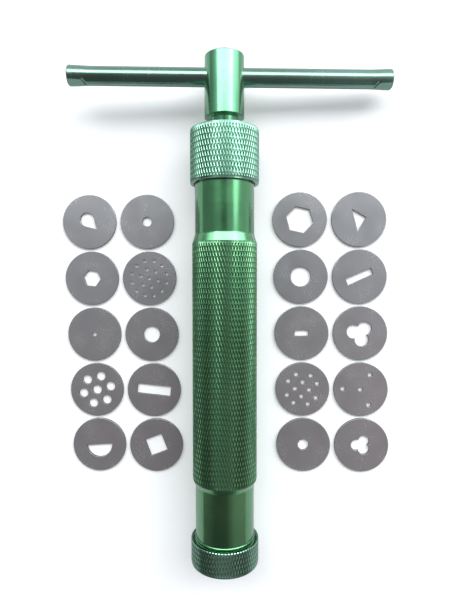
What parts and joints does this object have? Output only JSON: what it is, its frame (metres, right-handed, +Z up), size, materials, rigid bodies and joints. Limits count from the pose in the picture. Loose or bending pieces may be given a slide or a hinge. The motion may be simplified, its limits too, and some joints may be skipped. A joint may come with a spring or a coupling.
{
  "type": "clay extruder",
  "caption": "Hand-screwed clay extruder: knurled barrel with screw caps, drive screw with a sliding cross bar and a piston, and a set of loose die discs with shaped apertures.",
  "frame": {"origin": "on the table under the middle of the tool's length, midway between the outer columns of discs", "axes": "+Y along the tool from the nose to the handle, +Z up from the table, +X to the right seen from above with the handle away"},
  "size_m": [0.1152, 0.167, 0.0226],
  "materials": {
    "anodised_green": "green anodised, turned and knurled",
    "die_steel": "tumbled stainless steel sheet",
    "piston_alloy": "turned, bare",
    "screw_steel": "zinc plated",
    "nylon": "natural nylon",
    "rubber": "black moulded rubber"
  },
  "bodies": {
    "barrel": {"barrel": "anodised_green"},
    "front_seal": {"front_seal": "nylon"},
    "front_cap": {"front_cap": "anodised_green"},
    "rear_seal": {"rear_seal": "nylon"},
    "rear_cap": {"rear_cap": "anodised_green"},
    "plunger": {"piston": "piston_alloy", "piston_ring": "rubber"},
    "screw": {"drive_screw": "anodised_green", "piston_washer": "screw_steel", "piston_screw": "screw_steel"},
    "bar": {"tommy_bar": "anodised_green"},
    "die_teardrop": {"die_teardrop": "die_steel"},
    "die_small_round": {"die_small_round": "die_steel"},
    "die_small_hexagon": {"die_small_hexagon": "die_steel"},
    "die_nineteen_holes": {"die_nineteen_holes": "die_steel"},
    "die_pinhole": {"die_pinhole": "die_steel"},
    "die_medium_round": {"die_medium_round": "die_steel"},
    "die_seven_holes": {"die_seven_holes": "die_steel"},
    "die_wide_slot": {"die_wide_slot": "die_steel"},
    "die_half_round": {"die_half_round": "die_steel"},
    "die_square": {"die_square": "die_steel"},
    "die_large_hexagon": {"die_large_hexagon": "die_steel"},
    "die_triangle": {"die_triangle": "die_steel"},
    "die_large_round": {"die_large_round": "die_steel"},
    "die_long_slot": {"die_long_slot": "die_steel"},
    "die_short_slot": {"die_short_slot": "die_steel"},
    "die_large_trefoil": {"die_large_trefoil": "die_steel"},
    "die_twelve_holes": {"die_twelve_holes": "die_steel"},
    "die_four_holes": {"die_four_holes": "die_steel"},
    "die_fine_round": {"die_fine_round": "die_steel"},
    "die_small_trefoil": {"die_small_trefoil": "die_steel"}
  },
  "joints": [
    {"name": "front_cap_travel", "type": "slide", "parent": "barrel", "child": "front_seal", "axis": [0, -1, 0], "range_m": [0, 0.0061]},
    {"name": "front_cap_turn", "type": "hinge", "parent": "front_seal", "child": "front_cap", "pos_m": [0, -0.0794, 0.0113], "axis": [0, -1, 0], "range_deg": [0, 2880]},
    {"name": "rear_cap_travel", "type": "slide", "parent": "barrel", "child": "rear_seal", "axis": [0, 1, 0], "range_m": [0, 0.0091]},
    {"name": "rear_cap_turn", "type": "hinge", "parent": "rear_seal", "child": "rear_cap", "pos_m": [0, 0.0509, 0.0113], "axis": [0, 1, 0], "range_deg": [0, 4320]},
    {"name": "plunger_feed", "type": "slide", "parent": "rear_cap", "child": "plunger", "axis": [0, 1, 0], "range_m": [-0.0041, 0.1181]},
    {"name": "screw_turn", "type": "hinge", "parent": "plunger", "child": "screw", "pos_m": [0, 0.0737, 0.0113], "axis": [0, 1, 0], "range_deg": [-720, 21240]},
    {"name": "bar_slide", "type": "slide", "parent": "screw", "child": "bar", "axis": [0.9982, 0, -0.0593], "range_m": [-0.0428, 0.0382]},
    {"name": "die_teardrop_lift", "type": "slide", "parent": "barrel", "child": "die_teardrop", "axis": [0, 0, 1], "range_m": [0, 0.03]},
    {"name": "die_small_round_lift", "type": "slide", "parent": "barrel", "child": "die_small_round", "axis": [0, 0, 1], "range_m": [0, 0.03]},
    {"name": "die_small_hexagon_lift", "type": "slide", "parent": "barrel", "child": "die_small_hexagon", "axis": [0, 0, 1], "range_m": [0, 0.03]},
    {"name": "die_nineteen_holes_lift", "type": "slide", "parent": "barrel", "child": "die_nineteen_holes", "axis": [0, 0, 1], "range_m": [0, 0.03]},
    {"name": "die_pinhole_lift", "type": "slide", "parent": "barrel", "child": "die_pinhole", "axis": [0, 0, 1], "range_m": [0, 0.03]},
    {"name": "die_medium_round_lift", "type": "slide", "parent": "barrel", "child": "die_medium_round", "axis": [0, 0, 1], "range_m": [0, 0.03]},
    {"name": "die_seven_holes_lift", "type": "slide", "parent": "barrel", "child": "die_seven_holes", "axis": [0, 0, 1], "range_m": [0, 0.03]},
    {"name": "die_wide_slot_lift", "type": "slide", "parent": "barrel", "child": "die_wide_slot", "axis": [0, 0, 1], "range_m": [0, 0.03]},
    {"name": "die_half_round_lift", "type": "slide", "parent": "barrel", "child": "die_half_round", "axis": [0, 0, 1], "range_m": [0, 0.03]},
    {"name": "die_square_lift", "type": "slide", "parent": "barrel", "child": "die_square", "axis": [0, 0, 1], "range_m": [0, 0.03]},
    {"name": "die_large_hexagon_lift", "type": "slide", "parent": "barrel", "child": "die_large_hexagon", "axis": [0, 0, 1], "range_m": [0, 0.03]},
    {"name": "die_triangle_lift", "type": "slide", "parent": "barrel", "child": "die_triangle", "axis": [0, 0, 1], "range_m": [0, 0.03]},
    {"name": "die_large_round_lift", "type": "slide", "parent": "barrel", "child": "die_large_round", "axis": [0, 0, 1], "range_m": [0, 0.03]},
    {"name": "die_long_slot_lift", "type": "slide", "parent": "barrel", "child": "die_long_slot", "axis": [0, 0, 1], "range_m": [0, 0.03]},
    {"name": "die_short_slot_lift", "type": "slide", "parent": "barrel", "child": "die_short_slot", "axis": [0, 0, 1], "range_m": [0, 0.03]},
    {"name": "die_large_trefoil_lift", "type": "slide", "parent": "barrel", "child": "die_large_trefoil", "axis": [0, 0, 1], "range_m": [0, 0.03]},
    {"name": "die_twelve_holes_lift", "type": "slide", "parent": "barrel", "child": "die_twelve_holes", "axis": [0, 0, 1], "range_m": [0, 0.03]},
    {"name": "die_four_holes_lift", "type": "slide", "parent": "barrel", "child": "die_four_holes", "axis": [0, 0, 1], "range_m": [0, 0.03]},
    {"name": "die_fine_round_lift", "type": "slide", "parent": "barrel", "child": "die_fine_round", "axis": [0, 0, 1], "range_m": [0, 0.03]},
    {"name": "die_small_trefoil_lift", "type": "slide", "parent": "barrel", "child": "die_small_trefoil", "axis": [0, 0, 1], "range_m": [0, 0.03]}
  ],
  "couplings": [
    {"joint": "front_cap_travel", "follows": "front_cap_turn", "m_per_rad": 0.00011937},
    {"joint": "rear_cap_travel", "follows": "rear_cap_turn", "m_per_rad": 0.00011937},
    {"joint": "plunger_feed", "follows": "screw_turn", "m_per_rad": 0.00031831}
  ]
}
